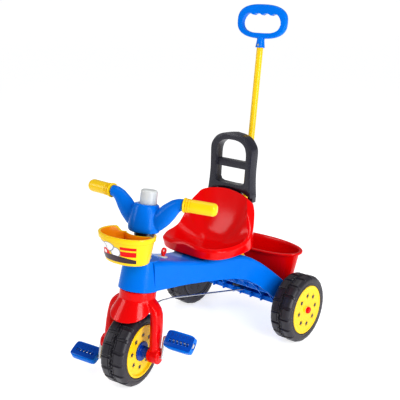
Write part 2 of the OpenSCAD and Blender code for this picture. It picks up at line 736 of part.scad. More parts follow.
// Pedal block about its pin: flat ribbed top, rounded long edges and a slot in front of the pin.
module pedal() {
  x0 = 96.1;
  mid = x0 + pedal_width / 2;
  side = curve([[pedal_width / 2, 0], [pedal_width / 2 - 1, pedal_depth / 2 - 7],
    [pedal_width / 2 - 6, pedal_depth / 2 - 2.4], [20, pedal_depth / 2 - 0.4], [0, pedal_depth / 2]], 3);
  half = concat(side, mirrored(side));
  difference() {
    intersection() {
      translate([mid, 0, -pedal_thick]) linear_extrude(2 * pedal_thick)
        polygon(concat(half, [for (q = backwards(half)) [q[0], -q[1]]]));
      translate([x0 - 1, 0, 0]) rotate([90, 0, 90]) linear_extrude(pedal_width + 2)
        polygon([for (q = oval(pedal_depth / 2, pedal_thick / 2, 5, 40)) q]);
    }
    along_x(crank_r + 0.06, x0 - 5, x0 + pedal_width + 5);
    along_x(8.6, x0 + pedal_width - 5, x0 + pedal_width + 5);
    difference() {
      translate([x0 + 10, -7.5, -20]) cube([pedal_width - 20, 9, 40]);
      for (i = [0:4]) translate([x0 + 17 + i * 10.4, -3, 0]) rotate([0, 0, 25]) translate([-1.2, -10, -8])
        cube([2.4, 20, 16]);
    }
    for (i = [0:5]) translate([x0 + 10 + i * 10.2, 9, pedal_thick / 2 - 0.8]) cube([5, 8, 3]);
    for (i = [0:5]) translate([x0 + 10 + i * 10.2, 9, -pedal_thick / 2 - 2.2]) cube([5, 8, 3]);
  }
}

module pedal_left() {
  color(blue) at_fork() translate(crank_dir) rotate([56, 0, 0]) pedal();
}

module pedal_right() {
  color(blue) at_fork() translate(-crank_dir) rotate([37, 0, 0]) mirror([1, 0, 0]) pedal();
}

// ---- Rear wheels ----

module at_left_wheel() {
  at_rear() translate([rear_mid, 0, 0]) children();
}

module at_right_wheel() {
  at_rear() translate([-rear_mid, 0, 0]) mirror([1, 0, 0]) children();
}

module rear_tyre() {
  tyre(rear_radius, rear_width / 2, rear_disc_r);
}

module rear_disc() {
  wheel_disc(rear_width / 2, rear_disc_r, -0.2, rear_dish);
}

module rear_disc_inner() {
  disc_blank(rear_width / 2, rear_disc_r, rear_width / 2 - 0.2, rear_dish);
}

module rear_sleeve() {
  half = rear_width / 2 + 0.2;
  difference() {
    along_x(9, -half, half);
    along_x(axle_bore, -60, 60);
  }
}

module rear_tyre_left() {
  color(black) at_left_wheel() rear_tyre();
}

module rear_disc_left_outer() {
  color(yellow) at_left_wheel() rear_disc();
}

module rear_disc_left_inner() {
  color(black) at_left_wheel() mirror([1, 0, 0]) rear_disc_inner();
}

module rear_sleeve_left() {
  color(white) at_left_wheel() rear_sleeve();
}

module rear_tyre_right() {
  color(black) at_right_wheel() rear_tyre();
}

module rear_disc_right_outer() {
  color(yellow) at_right_wheel() rear_disc();
}

module rear_disc_right_inner() {
  color(black) at_right_wheel() mirror([1, 0, 0]) rear_disc_inner();
}

module rear_sleeve_right() {
  color(white) at_right_wheel() rear_sleeve();
}

// ---- Push rod ----

module push_rod() {
  color(yellow) at_handle() difference() {
    union() {
      translate([0, 0, -136]) cylinder(r = rod_r, h = 703);
      translate([0, 0, -43.6]) cylinder(r1 = 13, r2 = 12, h = 6);
    }
    translate([0, 0, -132.6]) along_x(1.5, -20, 20);
    translate([0, 0, 560]) along_y(1.6, -20, 0);
  }
}

module push_handle() {
  out = oval(handle_half, 46.5, 2.6, 56);
  hole = curve([[0, 620 - 46.9], [-30, 620 - 46], [-50, 620 - 38], [-58, 620 - 22], [-54, 620 - 6], [-44, 620 + 4.5],
    [-33, 620 + 4], [-26, 620 + 0.8], [-18, 620 + 5.5], [-7, 620 + 5], [0, 620 + 1]], 2);
  shift = 25.5;
  color(blue) at_handle() difference() {
    union() {
      difference() {
        translate([0, 0, 624.3]) rotate([90, 0, 0]) skin([
          for (q = [[-10, 0.955, 0.93], [-6.5, 0.99, 0.985], [0, 1, 1], [6.5, 0.99, 0.985], [10, 0.955, 0.93]])
            [for (p = out) [p[0] * q[1], p[1] * q[2], q[0]]]
        ]);
        translate([0, 20, shift - 5.6]) rotate([90, 0, 0]) linear_extrude(40)
          polygon(concat(hole, [for (q = backwards(hole)) [-q[0], q[1]]]));
      }
      translate([0, 0, 553.5]) cylinder(r1 = 13.4, r2 = 10.6, h = 19);
      translate([0, 0, 571]) cylinder(r = 10.6, h = 16);
    }
    translate([0, 0, 550]) cylinder(r = rod_r, h = 17);
    translate([0, 0, 560]) along_y(1.8, -20, 0);
  }
}

module handle_screw() {
  color(steel) at_handle() translate([0, 0, 560]) {
    along_y(3.4, -15.6, -13);
    along_y(1.6, -13, -4);
  }
}

module rod_arm() {
  color(black) at_handle() difference() {
    union() {
      translate([0, 0, -135.4]) cylinder(r = 14, h = 5.7);
      translate([arm_x, arm_y, -135.4]) cylinder(r = 6.6, h = 5.7);
      rotate([0, 0, atan2(arm_y, arm_x)]) translate([0, -5.8, -135.4])
        cube([norm([arm_x, arm_y]), 11.6, 5.7]);
    }
    translate([0, 0, -140]) cylinder(r = rod_r, h = 20);
    translate([arm_x, arm_y, -140]) cylinder(r = wire_r + pin_gap, h = 20, $fn = 32);
    translate([0, 0, -132.6]) along_x(1.5, -20, 20);
  }
}

module rod_pin() {
  color(steel) at_handle() translate([0, 0, -132.6]) along_x(1.5, -14.5, 14.5);
}

// ---- Link from the fork to the push rod ----

// Point of the rest position, from the steering axis or from the rod's axis.
function turned(p) =
  [p[0] * cos(steer_rest) - p[1] * sin(steer_rest), p[0] * sin(steer_rest) + p[1] * cos(steer_rest), p[2]];
function tilted(p, a) = [p[0], p[1] * cos(a) + p[2] * sin(a), p[2] * cos(a) - p[1] * sin(a)];
function fork_point(h) = [0, front_y, front_z] + tilted(turned([arm_x, arm_y, h]), rake);
function rod_point(h) = rod_foot + tilted(turned([arm_x, arm_y, h]), rod_lean);

function unit(v) = v / norm(v);
// Path with each corner replaced by a bend that starts k before it.
function bent(p, k) = [
  p[0],
  for (i = [1:len(p) - 2], t = [0:0.25:1])
    let (a = p[i] + unit(p[i - 1] - p[i]) * k, b = p[i] + unit(p[i + 1] - p[i]) * k)
    a * (1 - t) * (1 - t) + p[i] * 2 * t * (1 - t) + b * t * t,
  p[len(p) - 1]
];

// Wire of radius r along a path that never runs along X.
module wire(path, r) {
  n = len(path);
  skin([for (i = [0:n - 1])
    let (
      t = unit(path[min(i + 1, n - 1)] - path[max(i - 1, 0)]),
      u = unit([1, 0, 0] - t[0] * t),
      v = cross(t, u)
    )
    [for (a = [0:22.5:350]) path[i] + r * (cos(a) * u + sin(a) * v)]]);
}

module steering_link() {
  color(steel) wire(bent([
    fork_point(131.5), fork_point(113.5), [22, -172, 197], [31, -138, 196], [31, 172, 113.5],
    rod_point(-141.2), rod_point(-125.6)
  ], 4.5), wire_r);
}

module link_clips() {
  color(steel) {
    at_fork() translate([arm_x, arm_y, 0]) difference() {
      translate([0, 0, 128]) cylinder(r = 5, h = 1.4, $fn = 32);
      translate([0, 0, 120]) cylinder(r = wire_r, h = 20, $fn = 32);
    }
    at_handle() translate([arm_x, arm_y, 0]) difference() {
      translate([0, 0, -128.3]) cylinder(r = 5, h = 1.4, $fn = 32);
      translate([0, 0, -135]) cylinder(r = wire_r, h = 20, $fn = 32);
    }
  }
}

// ---- Toy key ----

module at_key() {
  translate([0, -139, 301]) rotate([-17.9, 0, 0]) children();
}

module key_plate() {
  color(white) at_key() difference() {
    translate([0, 0, 0.2]) cylinder(r1 = 13, r2 = 11.5, h = 2.6);
    cylinder(r = 3.06, h = 40, center = true, $fn = 32);
  }
}

module toy_key() {
  color(red) at_key() difference() {
    union() {
      translate([0, 0, -3.6]) cylinder(r = 3, h = 14, $fn = 32);
      translate([0, 0, -9]) cylinder(r1 = 2.4, r2 = 4.4, h = 4, $fn = 32);
      translate([0, 0, -5.2]) cylinder(r = 3, h = 3, $fn = 32);
      translate([-2.5, 0, 15]) rotate([90, 0, 90]) linear_extrude(5) polygon(oval(8.5, 9.5, 2.3, 40));
      translate([0, 0, 3.2]) cylinder(r = 5, h = 2.4, $fn = 32);
    }
    translate([-5, 0, 16.5]) rotate([90, 0, 90]) linear_extrude(10) polygon(oval(4.2, 3.4, 2, 28));
  }
}

frame();
steering_bushes();
rear_axle();
axle_caps();
axle_washers();
seat();
seat_screws();
backrest();
backrest_screws();
rear_tub();
tub_screws();
rod_bushes();
key_plate();
fork();
handlebar();
stem_collar();
stem_bolt();
grip_left();
grip_right();
horn_bellows();
horn_button();
basket();
basket_bracket();
basket_screws();
crank_bushes();
front_tyre();
front_disc_left();
front_disc_right();
front_hub_left();
front_hub_right();
crank();
push_nuts();
pedal_left();
pedal_right();
rear_tyre_left();
rear_disc_left_outer();
rear_disc_left_inner();
rear_sleeve_left();
rear_tyre_right();
rear_disc_right_outer();
rear_disc_right_inner();
rear_sleeve_right();
push_rod();
push_handle();
handle_screw();
rod_arm();
rod_pin();
steering_link();
link_clips();
toy_key();
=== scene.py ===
import json
import math

import bmesh
import bpy
from mathutils import Matrix, Vector


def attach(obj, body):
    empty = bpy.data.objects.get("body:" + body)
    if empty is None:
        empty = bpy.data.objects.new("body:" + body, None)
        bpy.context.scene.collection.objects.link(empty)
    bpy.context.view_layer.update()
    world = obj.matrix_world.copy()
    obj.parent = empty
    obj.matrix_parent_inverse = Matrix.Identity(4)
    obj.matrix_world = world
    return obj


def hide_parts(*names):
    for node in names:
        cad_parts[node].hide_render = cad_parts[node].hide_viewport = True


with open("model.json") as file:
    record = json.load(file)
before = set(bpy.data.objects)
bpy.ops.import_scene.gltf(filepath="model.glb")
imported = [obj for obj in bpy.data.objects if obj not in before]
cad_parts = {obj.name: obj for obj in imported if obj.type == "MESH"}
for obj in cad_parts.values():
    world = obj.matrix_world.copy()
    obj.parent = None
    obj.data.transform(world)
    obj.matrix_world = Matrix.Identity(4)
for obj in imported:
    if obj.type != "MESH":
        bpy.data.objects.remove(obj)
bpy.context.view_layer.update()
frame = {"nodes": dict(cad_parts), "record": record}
NODES = frame["nodes"]
BODY = {n: b for b, names in frame["record"]["behaviour"]["bodies"].items() for n in names}

# ---------------------------------------------------------------- measures from the record and the CAD
JOINTS = {j["name"]: j for j in frame["record"]["behaviour"]["joints"]}
FRONT = Vector(JOINTS["steering"]["pos_m"])
AXIS = Vector(JOINTS["steering"]["axis"]).normalized()
WHEEL_X = Vector(JOINTS["front_wheel_spin"]["axis"]).normalized()
FORK = Matrix((WHEEL_X, AXIS.cross(WHEEL_X), AXIS)).transposed().to_4x4()
FORK.translation = FRONT


# ---------------------------------------------------------------- materials
def material(name, color, rough=0.3, metal=0.0, vary=0.05, grain=0.0, grain_scale=900.0, wave=0.0,
             scuff=0.03, spec=0.5):
    """Moulded or painted surface: broad tint change, fine grain, faint ripples and scuffed gloss."""
    m = bpy.data.materials.new(name)
    m.use_nodes = True
    nt = m.node_tree
    bsdf = nt.nodes["Principled BSDF"]
    bsdf.inputs["Metallic"].default_value = metal
    bsdf.inputs["Specular IOR Level"].default_value = spec
    coord = nt.nodes.new("ShaderNodeTexCoord")

    def noise(scale, detail=3.0):
        n = nt.nodes.new("ShaderNodeTexNoise")
        n.inputs["Scale"].default_value = scale
        n.inputs["Detail"].default_value = detail
        nt.links.new(coord.outputs["Object"], n.inputs["Vector"])
        return n

    broad = noise(9.0, 4.0)
    ramp = nt.nodes.new("ShaderNodeValToRGB")
    ramp.color_ramp.elements[0].position = 0.3
    ramp.color_ramp.elements[1].position = 0.7
    lo = [max(0.0, c * (1 - vary)) for c in color]
    hi = [min(1.0, c * (1 + vary) + vary * 0.01) for c in color]
    ramp.color_ramp.elements[0].color = (*lo, 1)
    ramp.color_ramp.elements[1].color = (*hi, 1)
    nt.links.new(broad.outputs["Fac"], ramp.inputs["Fac"])
    nt.links.new(ramp.outputs["Color"], bsdf.inputs["Base Color"])
    mark = noise(60.0, 6.0)
    span = nt.nodes.new("ShaderNodeMapRange")
    span.inputs["From Min"].default_value = 0.35
    span.inputs["From Max"].default_value = 0.75
    span.inputs["To Min"].default_value = rough
    span.inputs["To Max"].default_value = rough + scuff
    nt.links.new(mark.outputs["Fac"], span.inputs["Value"])
    nt.links.new(span.outputs["Result"], bsdf.inputs["Roughness"])
    normal = None
    for strength, scale, dist in ((wave, 22.0, 0.004), (grain, grain_scale, 0.0006)):
        if strength > 0:
            b = nt.nodes.new("ShaderNodeBump")
            b.inputs["Strength"].default_value = strength
            b.inputs["Distance"].default_value = dist
            nt.links.new(noise(scale, 2.0).outputs["Fac"], b.inputs["Height"])
            if normal:
                nt.links.new(normal, b.inputs["Normal"])
            normal = b.outputs["Normal"]
    if normal:
        nt.links.new(normal, bsdf.inputs["Normal"])
    return m


MAT = {
    "red": material("red_plastic", (0.72, 0.0, 0.001), 0.15, vary=0.04, wave=0.04, grain=0.02, spec=0.24),
    "blue": material("blue_plastic", (0.0, 0.165, 0.68), 0.18, wave=0.03, grain=0.02, spec=0.1),
    "navy": material("dark_blue_plastic", (0.0, 0.045, 0.33), 0.22, grain=0.03, spec=0.3),
    "deep": material("blue_plastic_deep", (0.0, 0.07, 0.42), 0.2, grain=0.02, spec=0.2),
    "yellow": material("yellow_plastic", (0.88, 0.58, 0.006), 0.2, wave=0.03, grain=0.02, spec=0.3),
    # Darker orange yellow, painted shade for the inside of the basket's hollow.
    "orange": material("orange_painted_shade", (0.82, 0.27, 0.0), 0.28, grain=0.02, spec=0.25),
    "black": material("black_plastic", (0.016, 0.016, 0.027), 0.26, grain=0.1, grain_scale=700.0),
    "tyre": material("tyre_plastic", (0.022, 0.02, 0.028), 0.36, grain=0.12, grain_scale=520.0),
    "white": material("white_plastic", (0.58, 0.6, 0.6), 0.28, vary=0.02, grain=0.02),
    "tube": material("yellow_tube", (0.8, 0.52, 0.004), 0.22, grain=0.02, spec=0.4),
    "steel": material("steel", (0.6, 0.61, 0.63), 0.24, metal=1.0, grain=0.06, scuff=0.12),
    "paper": material("sticker_white", (0.85, 0.85, 0.86), 0.3, vary=0.02),
    "ink": material("sticker_dark", (0.03, 0.004, 0.012), 0.25, vary=0.04),
    "grey": material("sticker_line", (0.25, 0.24, 0.26), 0.3, vary=0.04),
}
SLOT = {
    "red_plastic": "red", "blue_plastic": "blue", "dark_blue_plastic": "navy",
    "yellow_plastic": "yellow", "black_plastic": "black", "tyre_plastic": "tyre",
    "white_plastic": "white", "yellow_tube": "tube", "steel": "steel",
}
NODE_SLOT = {p["node"]: p["material_slot"] for p in frame["record"]["subparts"]}


def node_material(node):
    return MAT[SLOT[NODE_SLOT[node]]]


for name, obj in NODES.items():
    obj.data.materials.clear()
    obj.data.materials.append(node_material(name))
    obj.data.shade_smooth()
    obj.data.set_sharp_from_angle(angle=math.radians(30))
    mod = obj.modifiers.new("edges", "WEIGHTED_NORMAL")
    mod.keep_sharp = True

# ---------------------------------------------------------------- mesh helpers
MM = 0.001


def new_object(name, verts, faces, mats, body, nodes=(), smooth_angle=40):
    mesh = bpy.data.meshes.new(name)
    mesh.from_pydata([tuple(v) for v in verts], [], faces)
    for m in mats:
        mesh.materials.append(m)
    return finish_piece(name, mesh, body, nodes, smooth_angle)


def finish_piece(name, mesh, body, nodes=(), smooth_angle=40):
    mesh.update()
    mesh.shade_smooth()
    mesh.set_sharp_from_angle(angle=math.radians(smooth_angle))
    obj = bpy.data.objects.new(name, mesh)
    bpy.context.scene.collection.objects.link(obj)
    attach(obj, body)
    if nodes:
        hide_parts(*nodes)
    return obj


def skin(rings, close=True):
    """Vertices and faces through rings of equal length, in millimetres, with fanned ends."""
    n = len(rings[0])
    verts = [Vector(p) * MM for ring in rings for p in ring]
    faces = []
    for j in range(len(rings) - 1):
        for i in range(n):
            k = (i + 1) % n
            faces.append((j * n + i, j * n + k, (j + 1) * n + k, (j + 1) * n + i))
    if close:
        for ring_at, flip in ((0, True), (len(rings) - 1, False)):
            mid = len(verts)
            verts.append(sum((verts[ring_at * n + i] for i in range(n)), Vector()) / n)
            for i in range(n):
                k = (i + 1) % n
                a, b = ring_at * n + i, ring_at * n + k
                faces.append((mid, b, a) if flip else (mid, a, b))
    return verts, faces


def bend(a, b, c, d, t):
    return tuple(
        0.5 * (2 * q + (r - p) * t + (2 * p - 5 * q + 4 * r - s) * t * t + (3 * q - p - 3 * r + s) * t ** 3)
        for p, q, r, s in zip(a, b, c, d)
    )


def loop(points, k):
    n = len(points)
    return [bend(points[i - 1], points[i], points[(i + 1) % n], points[(i + 2) % n], s / k)
            for i in range(n) for s in range(k)]


def cad_copy(node):
    """Copy of a CAD node's mesh, welded, with its flat faces joined."""
    bm = bmesh.new()
    bm.from_mesh(NODES[node].data)
    bmesh.ops.remove_doubles(bm, verts=bm.verts, dist=2e-5)
    bmesh.ops.dissolve_limit(bm, angle_limit=math.radians(0.6), verts=bm.verts, edges=bm.edges)
    return bm


def bevelled(node, width):
    """CAD node with its hard edges, of more than 32 degrees, rounded to the given width."""
    bm = cad_copy(node)
    sharp = math.radians(32)
    edges = [e for e in bm.edges if len(e.link_faces) == 2 and e.calc_face_angle(0.0) > sharp]
    bmesh.ops.bevel(bm, geom=edges, offset=width * MM, segments=3, profile=0.5, affect="EDGES",
                    clamp_overlap=True, offset_type="OFFSET")
    mesh = bpy.data.meshes.new(node + "_round")
    bm.to_mesh(mesh)
    bm.free()
    mesh.materials.append(node_material(node))
    return finish_piece(node + "_round", mesh, BODY[node], (node,))


def moulded(node, voxel, rounds):
    """CAD node as one blended moulding, remeshed on a fine grid and relaxed so its joints are filleted."""
    bm = cad_copy(node)
    bmesh.ops.triangulate(bm, faces=bm.faces)
    mesh = bpy.data.meshes.new(node + "_moulded")
    bm.to_mesh(mesh)
    bm.free()
    source = bpy.data.objects.new("moulding_source", mesh)
    bpy.context.scene.collection.objects.link(source)
    grid = source.modifiers.new("grid", "REMESH")
    grid.mode = "VOXEL"
    grid.voxel_size = voxel * MM * 1.0
    relax = source.modifiers.new("relax", "SMOOTH")
    relax.factor = 0.5
    relax.iterations = rounds
    deps = bpy.context.evaluated_depsgraph_get()
    out = bpy.data.meshes.new_from_object(source.evaluated_get(deps))
    bpy.data.objects.remove(source)
    out.materials.clear()
    out.materials.append(node_material(node))
    return finish_piece(node + "_moulded", out, BODY[node], (node,), 180)


# ---------------------------------------------------------------- seat
# Half outlines of the seat, in millimetres, from the front middle round the left to the rear middle.
CREST = [
    (0, -44, 317), (32, -46, 313), (60, -42, 310.5), (86, -31, 311), (104, -3, 311.5), (111, 34, 312),
    (114, 60, 318), (113, 80, 340), (100, 90, 376), (88, 105, 397), (75, 115, 412), (42, 123, 421),
    (0, 125, 425),
]
EDGE = [
    (0, -51, 309), (33, -53, 305), (64, -49, 303), (93, -36, 304), (110, -6, 304), (118, 34, 305),
    (121, 61, 312), (120, 87, 336), (110, 107, 371), (98, 121, 389), (84, 130, 400), (44, 135, 412),
    (0, 136, 418),
]
FOOT = [
    (0, -49, 282), (34, -50, 282), (63, -46, 282), (91, -32, 282), (107, -1, 281.5), (113, 36, 281),
    (115, 60, 281), (114, 85, 281), (107, 107, 281), (94, 124, 281), (80, 134, 281), (44, 138, 281),
    (0, 139, 281),
]
# Lowest point of the bowl, the thickness of its shell, and the number of rings from there to the crest.
BOWL = Vector((0, 40, 286.5))
SHELL = 3.0
BOWL_RINGS = 23


def around(half, k=8):
    """Smooth closed line through a half outline and its mirror image."""
    return [Vector(p) for p in loop(half + [(-x, y, z) for x, y, z in half[-2:0:-1]], k)]


def plan_out(q):
    """Level direction away from the bowl's lowest point."""
    d = Vector((q.x - BOWL.x, q.y - BOWL.y, 0))
    return d.normalized()


def bowl_point(q, s):
    """Point of the bowl at the share s of the way to the crest point q, rising with its cube."""
    x = BOWL.x + (q.x - BOWL.x) * s
    y = BOWL.y + (q.y - BOWL.y) * s
    return Vector((x, y, BOWL.z + (q.z - BOWL.z) * s ** 3))


def under_point(q, s):
    """Point under bowl_point, one shell thickness away square to the surface."""
    k = 3 * (q.z - BOWL.z) * s * s / math.hypot(q.x - BOWL.x, q.y - BOWL.y)
    g = math.sqrt(1 + k * k)
    return bowl_point(q, s) + plan_out(q) * SHELL * k / g - Vector((0, 0, SHELL / g))


def mean_crest(crest, reach=9):
    """Crest line averaged along itself, which the middle of the bowl follows."""
    n = len(crest)
    span = range(-reach, reach + 1)
    return [sum((crest[(i + j) % n] for j in span), Vector()) / len(span) for i in range(n)]


def build_seat():
    crest, edge, foot = around(CREST), around(EDGE), around(FOOT)
    calm = mean_crest(crest)
    both = list(zip(crest, edge, foot))
    up = Vector((0, 0, 1))
    steps = [0.05 + 0.95 * (i / (BOWL_RINGS - 1)) for i in range(BOWL_RINGS)]
    inner = {s: [m.lerp(c, s ** 5) for m, c in zip(calm, crest)] for s in steps}
    rings = [[under_point(c, s) for c in inner[s]] for s in steps[:-2]]
    rings.append([(c + e) / 2 - up * 4.5 for c, e, f in both])
    rings.append([e - plan_out(e) * 3 - up * 7 for c, e, f in both])
    rings.append([f - plan_out(f) * 3 for f in foot])
    rings.append([f - plan_out(f) * 0.6 for f in foot])
    rings.append([f + up * 0.8 for f in foot])
    # Skirt from the foot to the edge.
    for t in (0.1, 0.3, 0.5, 0.7, 0.85):
        rings.append([f * (1 - t) + (e - up * 3) * t for c, e, f in both])
    rings.append([e - up * 3 for e in edge])
    rings.append([e + plan_out(e) * 0.4 - up * 1.2 for e in edge])
    rings.append([e + plan_out(e) * 0.6 for e in edge])
    # Rolled rim from the edge to the crest: share of the edge line, and height above it.
    for share, lift in ((0.85, 1.3), (0.6, 2.1), (0.35, 2.0), (0.15, 1.2)):
        rings.append([e * share + c * (1 - share) + up * lift for c, e, f in both])
    rings += [[bowl_point(c, s) for c in inner[s]] for s in reversed(steps)]
    verts, faces = skin([[tuple(p) for p in ring] for ring in rings])
    return new_object("seat_bucket", verts, faces, [MAT["red"]], "frame", ("seat",), 55)


# ---------------------------------------------------------------- tyres
# Numbers of flats round a tyre and of stars in a disc, and the roundness of the tyre's shoulders.
FLATS = 18
STARS = 8
BULGE = 13.0
# Half spacing of the tread's rings, closer where the zigzag and the mould lines run.
TREAD_RINGS = (
    [0.0, 0.5, 0.6, 1.6, 2.6, 3.6, 4.6, 5.6, 6.7, 7.0, 7.6, 8.2, 8.6, 11.0, 14.0, 17.0, 20.0]
    + [22.0, 24.0, 26.0, 28.0, 30.0, 31.5, 32.6, 33.6]
)
# Radius of the tread, half width, radius and dish of the disc, in millimetres, and the turn of the flats.
FRONT_SIZES = (91.85, 34.7, 68.3, 5, math.radians(10.8))
REAR_SIZES = (95.0, 32.8, 69.4, 1, 0.0)


def tyre_blocks(theta, a, radius, half, turned):
    """Radius of the tread at an angle round the wheel and a distance from its middle plane."""
    step = 2 * math.pi / FLATS
    side = 1 if a > 0 else -1
    over = max(0.0, abs(a) - (half - BULGE))
    drop = BULGE - math.sqrt(max(0.0, BULGE * BULGE - over * over))
    u = ((theta - turned + (step / 2 if side < 0 else 0)) % step) / step
    flat = radius if side > 0 else radius * 0.989
    top = min(flat / math.cos((u - 0.5) * step), radius + 1.0)
    # Grooves between the blocks, every second one wider at the shoulder.
    to_groove = 0.5 - abs(u - 0.5)
    shoulder = int(((theta - turned) // step) % 2) == 0 and abs(a) > half - 18
    wide = 0.07 + (0.035 if shoulder else 0.0)
    groove = 4.2 * min(1.0, max(0.0, (wide + 0.06 - to_groove) / 0.06))
    # Zigzag groove in the middle, with a low mould line along it, and a fine line on either side.
    zig = 2.2 + 3.4 * abs(((theta - turned) / step * 3) % 1 * 2 - 1)
    if abs(a) < zig:
        groove = max(groove, 3.0 * min(1.0, zig - abs(a)))
    if abs(a) < 0.55:
        groove = min(groove, 1.2)
    if abs(abs(a) - 7.6) < 0.8:
        groove = max(groove, 1.3)
    fade = max(0.15, 1.0 - (over / BULGE) ** 2 * 0.9)
    return top - groove * fade - drop


def spin_frame(centre, x, z):
    """Places a point given by its radius, its distance along the axle x and its angle from z."""
    y = z.cross(x)
    return lambda r, a, theta: centre + (x * a + (y * math.cos(theta) + z * math.sin(theta)) * r) * MM


def revolved(place, profile, turn, side, verts, faces):
    """Adds a closed ring with the given profile of radius and distance, the radius possibly a function."""
    start = len(verts)
    m = len(profile)
    for i in range(turn):
        theta = 2 * math.pi * i / turn
        for r, a in profile:
            verts.append(place(r(theta) if callable(r) else r, a * side, theta))
    for i in range(turn):
        k = (i + 1) % turn
        for j in range(m):
            l = (j + 1) % m
            f = (start + i * m + j, start + i * m + l, start + k * m + l, start + k * m + j)
            faces.append(f if side > 0 else f[::-1])


def add_star_shades(place, side, a, verts, faces):
    """Dark star-shaped sheets filling the openings in a wheel disc, painted shade of the hollow wheel
    behind them; their faces are at distance a.
    """
    ring_radius, tip, notch, thick = 42, 8.6, 3.1, 0.6
    for i in range(STARS):
        turn = 2 * math.pi * i / STARS
        start = len(verts)
        for k in range(10):
            r = tip if k % 2 == 0 else notch
            u = ring_radius + r * math.cos(k * math.pi / 5 + math.pi)
            v = r * math.sin(k * math.pi / 5)
            angle = turn + math.atan2(v, u)
            verts += [place(math.hypot(u, v), side * (a - d), angle) for d in (0.0, thick)]
        ring = [start + 2 * k for k in range(10)]
        faces.append(ring[::-1])
        faces.append([q + 1 for q in ring])
        for p, q in zip(ring, ring[1:] + ring[:1]):
            faces.append((p, q, q + 1, p + 1))


def build_tyre(node, centre, x, z, side, sizes):
    """Chunky moulded tyre with staggered blocks and a zigzag middle, and dark sheets behind its discs and
    in their openings, painted shade of the hollow wheel.
    """
    radius, half, disc, dish, turned = sizes
    place = spin_frame(centre, x, z)
    across = [a for a in TREAD_RINGS if a < half - 0.5] + [half - 0.35]
    rim = [
        (disc - 6, half - 6), (disc + 0.1, half - 6), (disc + 0.1, half - 3), (disc + 1.6, half - 2.4),
        (disc + 1.6, half - 0.8), (disc + 2.6, half), (disc + 6.5, half), (disc + 7.4, half - 0.7),
        (disc + 8.4, half - 0.7), (disc + 9.4, half),
    ]

    def tread(a):
        return (lambda theta: tyre_blocks(theta, a * side, radius, half, turned)), a

    profile = rim + [tread(a) for a in reversed(across)] + [tread(-a) for a in across[1:]]
    profile += [(r, -a) for r, a in reversed(rim)]
    verts, faces = [], []
    revolved(place, profile, 1080, side, verts, faces)
    # Dark sheet behind each disc, painted shade of the hollow wheel seen through the openings.
    back = half - dish - 3.8
    shade_sheet = [(disc - 6.5, back - 1.4), (disc - 6.5, back), (27, back), (27, back - 1.4)]
    for s in (1, -1):
        revolved(place, shade_sheet, 72, s, verts, faces)
    # The front wheel has dark stars of painted shade in its openings on both sides, a rear wheel only on
    # its outer side.
    for s in (1, -1) if node == "front_tyre" else (1,):
        add_star_shades(place, s, half - dish + 0.3, verts, faces)
    return new_object(node + "_tread", verts, faces, [MAT["tyre"]], BODY[node], (node,), 38)


def build_tyres():
    build_tyre("front_tyre", FRONT, WHEEL_X, AXIS, 1, FRONT_SIZES)
    for side, name in ((1, "left"), (-1, "right")):
        centre = Vector(JOINTS["rear_wheel_%s_spin" % name]["pos_m"])
        build_tyre("rear_tyre_" + name, centre, Vector((1, 0, 0)), Vector((0, 0, 1)), side, REAR_SIZES)


# ---------------------------------------------------------------- basket
ROUND = 2.15


def oval(rx, ry, n):
    """Points of a slightly squared oval."""
    pts = []
    for i in range(n):
        c, s = math.cos(2 * math.pi * i / n), math.sin(2 * math.pi * i / n)
        x = rx * math.copysign(abs(c) ** (2 / ROUND), c)
        y = ry * math.copysign(abs(s) ** (2 / ROUND), s)
        pts.append((x, y))
    return pts


def basket_point(v, w, rx, ry, keep, t):
    """Point at the angle t of a ring: centre, height, half sizes, and the hollow kept round the stem."""
    c, s = math.cos(t), math.sin(t)
    x = rx * math.copysign(abs(c) ** (2 / ROUND), c)
    y = v + ry * math.copysign(abs(s) ** (2 / ROUND), s)
    k = max(1.0, keep / math.hypot(x, y))
    # The rim dips under the handlebar's block.
    near = min(1.0, max(0.0, (y * k + 58) / 12)) * min(1.0, max(0.0, (58 - abs(x * k)) / 14))
    dip = 0.36 * max(0.0, w - 270) * near * near * (3 - 2 * near)
    return FORK @ (Vector((x * k, y * k, w + 0.0925 * (y * k - v) - dip)) * MM)


# Rings of the outer wall from the foot to the rim band, as basket_point takes them.
WALLS = [
    (-63.5, 238.4, 55, 41.5, 42), (-67, 255, 59.5, 46, 42.3), (-72.5, 281, 65, 50.5, 44),
    (-76, 294, 68, 53, 45.2),
]
BASKET_FOOT = [(-62.4, 236.4, 44, 34, 48), (-63, 236.4, 50, 37.4, 44.6), (-63.3, 237.2, 53.4, 40.2, 43)]
BASKET_RIM = [
    (-76.2, 294.2, 70.4, 55.2, 44.4), (-76.4, 294.9, 71.2, 56, 44.2), (-76.8, 299.5, 71.7, 56.4, 44.2),
    (-77.3, 305.2, 72.4, 56.9, 44.2), (-77.3, 306.3, 72.0, 56.5, 44.6), (-77.3, 306.8, 71.2, 55.7, 45.2),
    (-77.2, 306.8, 68.2, 52.8, 47.0), (-77.2, 306.4, 67.0, 51.8, 47.6), (-77.1, 305.4, 66.4, 51.2, 47.8),
]
BASKET_FLOOR = [(-64, 242.4, 52.5, 39, 46), (-63.6, 240.6, 50, 37, 48.5), (-63.4, 239.8, 46, 33.6, 50)]
BASKET_STEPS = 12


def wall_ring(h):
    """Ring of the outer wall, h from 0 at the foot to 1 under the rim band."""
    f = h * (len(WALLS) - 1)
    i = min(int(f), len(WALLS) - 2)
    f -= i
    return [a * (1 - f) + b * f for a, b in zip(WALLS[i], WALLS[i + 1])]


def basket_wall(h, t, off=0.0):
    """Point of the outer wall, moved out by off."""
    v, w, rx, ry, keep = wall_ring(h)
    return basket_point(v, w, rx + off, ry + off, keep + off, t)


def inner_ring(h, wall=3.0, drop=0.4):
    v, w, rx, ry, keep = wall_ring(h)
    return v, w - drop, rx - wall, ry - wall, keep + wall


